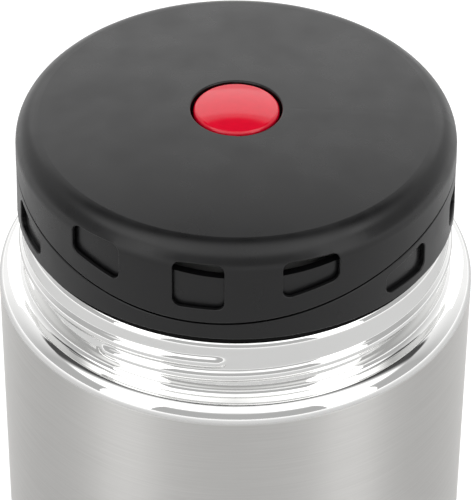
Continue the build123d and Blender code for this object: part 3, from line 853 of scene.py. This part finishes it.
class FOODJAR_OT_stage(bpy.types.Operator):
    """Adds the floor, the lamps, the surroundings and the camera"""

    bl_idname = "foodjar.stage"
    bl_label = "Stage"

    def execute(self, context):
        stage = context.scene.foodjar_stage
        self.add_floor(stage)
        self.add_surroundings(context)
        self.add_lamps(context)
        self.add_camera(context, stage)
        context.scene.view_settings.view_transform = "Standard"
        return {"FINISHED"}

    def seen_directly(self, tree, path, glossy):
        """One for camera rays, the given socket's value for glossy and transmission rays, else none."""
        beyond = add_node(
            tree,
            "ShaderNodeMath",
            {0: path["Is Glossy Ray"], 1: path["Is Transmission Ray"]},
            operation="ADD",
        )
        beyond = add_node(tree, "ShaderNodeMath", {0: beyond.outputs[0], 1: glossy}, operation="MULTIPLY")
        return add_node(
            tree,
            "ShaderNodeMath",
            {0: beyond.outputs[0], 1: path["Is Camera Ray"]},
            operation="ADD",
            use_clamp=True,
        ).outputs[0]

    def add_floor(self, stage):
        """Pale paper under the jar, which looks white and keeps the jar's shadow."""
        bpy.ops.object.select_all(action="DESELECT")
        bpy.ops.mesh.primitive_circle_add(
            vertices=96, radius=FLOOR_RADIUS, fill_type="NGON", location=(0, 0, -FLOOR_GAP)
        )
        floor = bpy.context.object
        floor.name = "floor"
        bpy.ops.object.transform_apply(location=True)
        material, tree, place = start_material("matt_white_paper")
        paper = add_node(tree, "ShaderNodeBsdfDiffuse", {"Color": linear(stage.floor)})
        path = add_node(tree, "ShaderNodeLightPath").outputs
        away = add_node(tree, "ShaderNodeVectorMath", {0: place}, operation="LENGTH").outputs["Value"]
        reach = {"From Min": FLOOR_LIFT_FROM, "From Max": FLOOR_LIFT_FULL}
        far = add_node(tree, "ShaderNodeMapRange", {"Value": away, **reach})
        seen = self.seen_directly(tree, path, far.outputs["Result"])
        lift = add_node(tree, "ShaderNodeMath", {0: seen, 1: FLOOR_LIFT}, operation="MULTIPLY")
        glow = add_node(tree, "ShaderNodeEmission", {"Strength": lift.outputs[0]})
        both = add_node(tree, "ShaderNodeAddShader", {0: paper.outputs[0], 1: glow.outputs[0]})
        finish_material(tree, both)
        floor.data.materials.append(material)

    def add_surroundings(self, context):
        """Room round the table: white walls behind the jar and dimmer ones in front, a ceiling
        that is lit in front and dark behind. The camera sees it as white.
        """
        world = bpy.data.worlds.new("studio_room")
        context.scene.world = world
        world.use_nodes = True
        tree = world.node_tree
        tree.nodes.clear()
        way = add_node(tree, "ShaderNodeTexCoord").outputs["Generated"]
        axes = add_node(tree, "ShaderNodeSeparateXYZ", {"Vector": way}).outputs
        walls = add_node(
            tree,
            "ShaderNodeMapRange",
            {"Value": axes["Y"], "From Max": WALL_BACK_REACH, "To Min": WALL_FRONT, "To Max": WALL_BACK},
        ).outputs["Result"]
        front = add_node(tree, "ShaderNodeMath", {0: axes["Y"], 1: -1.0}, operation="MULTIPLY").outputs[0]
        lean = add_node(tree, "ShaderNodeMath", {0: axes["Z"], 1: front}, operation="ARCTAN2").outputs[0]
        aside = add_node(tree, "ShaderNodeMath", {0: axes["X"]}, operation="ABSOLUTE").outputs[0]
        sides = {"Value": aside, "To Min": CEILING_MIDDLE, "To Max": CEILING_SIDE}
        lit = add_node(tree, "ShaderNodeMapRange", sides).outputs["Result"]
        ceiling = add_node(
            tree,
            "ShaderNodeMapRange",
            {
                "Value": lean,
                "From Min": CEILING_LIT_UP_TO,
                "From Max": CEILING_DARK_FROM,
                "To Min": lit,
                "To Max": CEILING_BACK,
            },
            interpolation_type="SMOOTHSTEP",
        ).outputs["Result"]
        turn = {"Value": axes["Y"], "From Min": -CORNICE_TURN, "From Max": CORNICE_TURN}
        wall_end, ceiling_start = [
            add_node(tree, "ShaderNodeMapRange", {**turn, "To Min": in_front, "To Max": behind})
            for in_front, behind in CORNICE
        ]
        room = add_node(
            tree,
            "ShaderNodeMapRange",
            {
                "Value": axes["Z"],
                "From Min": wall_end.outputs["Result"],
                "From Max": ceiling_start.outputs["Result"],
                "To Min": walls,
                "To Max": ceiling,
            },
            interpolation_type="SMOOTHSTEP",
        ).outputs["Result"]
        path = add_node(tree, "ShaderNodeLightPath").outputs
        level = add_node(tree, "ShaderNodeMath", {0: path["Is Camera Ray"], 1: room}, operation="MAXIMUM")
        light = add_node(tree, "ShaderNodeBackground", {"Color": (1, 1, 1, 1), "Strength": level.outputs[0]})
        add_node(tree, "ShaderNodeOutputWorld", {"Surface": light.outputs[0]})

    def add_lamps(self, context):
        """Softboxes round the jar, each turned to its upper half."""
        target = Vector(LAMP_TARGET)
        for name, (azimuth, elevation, far, width, high, power) in LAMPS.items():
            a = math.radians(azimuth)
            e = math.radians(elevation)
            out = Vector((math.sin(a) * math.cos(e), -math.cos(a) * math.cos(e), math.sin(e)))
            data = bpy.data.lights.new(name, "AREA")
            data.shape = "RECTANGLE"
            data.size = width
            data.size_y = high
            data.energy = power
            lamp = bpy.data.objects.new(name, data)
            turn = out.to_track_quat("Z", "Y").to_matrix().to_4x4()
            lamp.matrix_world = Matrix.Translation(target + out * far) @ turn
            lamp.visible_camera = False
            context.scene.collection.objects.link(lamp)

    def add_camera(self, context, stage):
        """Camera in front of the jar, above it and tilted down."""
        data = bpy.data.cameras.new("camera")
        data.lens = stage.lens
        data.sensor_width = 36.0
        data.clip_start = 0.01
        data.clip_end = 20.0
        camera = bpy.data.objects.new("camera", data)
        turn = Matrix.Rotation(math.pi / 2 - stage.tilt, 4, "X") @ Matrix.Rotation(stage.roll, 4, "Z")
        camera.matrix_world = Matrix.Translation((0, -stage.distance, stage.height)) @ turn
        context.scene.collection.objects.link(camera)
        context.scene.camera = camera


class FOODJAR_PT_sidebar(bpy.types.Panel):
    """Lists the jar's sizes, colours and builders"""

    bl_idname = "FOODJAR_PT_sidebar"
    bl_label = "Food Jar"
    bl_space_type = "VIEW_3D"
    bl_region_type = "UI"
    bl_category = "Food Jar"

    def draw(self, context):
        for name in groups:
            box = self.layout.box()
            group = getattr(context.scene, name)
            for prop in group.__annotations__:
                box.prop(group, prop)
        for operator in operators:
            self.layout.operator(operator.bl_idname)


operators = (
    FOODJAR_OT_stage,
    FOODJAR_OT_shell,
    FOODJAR_OT_base,
    FOODJAR_OT_stopper,
    FOODJAR_OT_plug,
    FOODJAR_OT_spring,
)
groups = {
    "foodjar_shell": FoodJarShell,
    "foodjar_thread": FoodJarThread,
    "foodjar_steel": FoodJarSteel,
    "foodjar_stopper": FoodJarStopper,
    "foodjar_small_parts": FoodJarSmallParts,
    "foodjar_spring": FoodJarSpring,
    "foodjar_stage": FoodJarStage,
}


def register():
    for cls in (*groups.values(), *operators, FOODJAR_PT_sidebar):
        bpy.utils.register_class(cls)
    for name, group in groups.items():
        setattr(bpy.types.Scene, name, bpy.props.PointerProperty(type=group))


def unregister():
    for name in groups:
        delattr(bpy.types.Scene, name)
    for cls in (FOODJAR_PT_sidebar, *reversed(operators), *groups.values()):
        bpy.utils.unregister_class(cls)


def main():
    register()
    bpy.ops.foodjar.stage()
    bpy.ops.foodjar.shell()
    bpy.ops.foodjar.base()
    bpy.ops.foodjar.stopper()
    bpy.ops.foodjar.plug()
    bpy.ops.foodjar.spring()


if __name__ == "__main__":
    main()
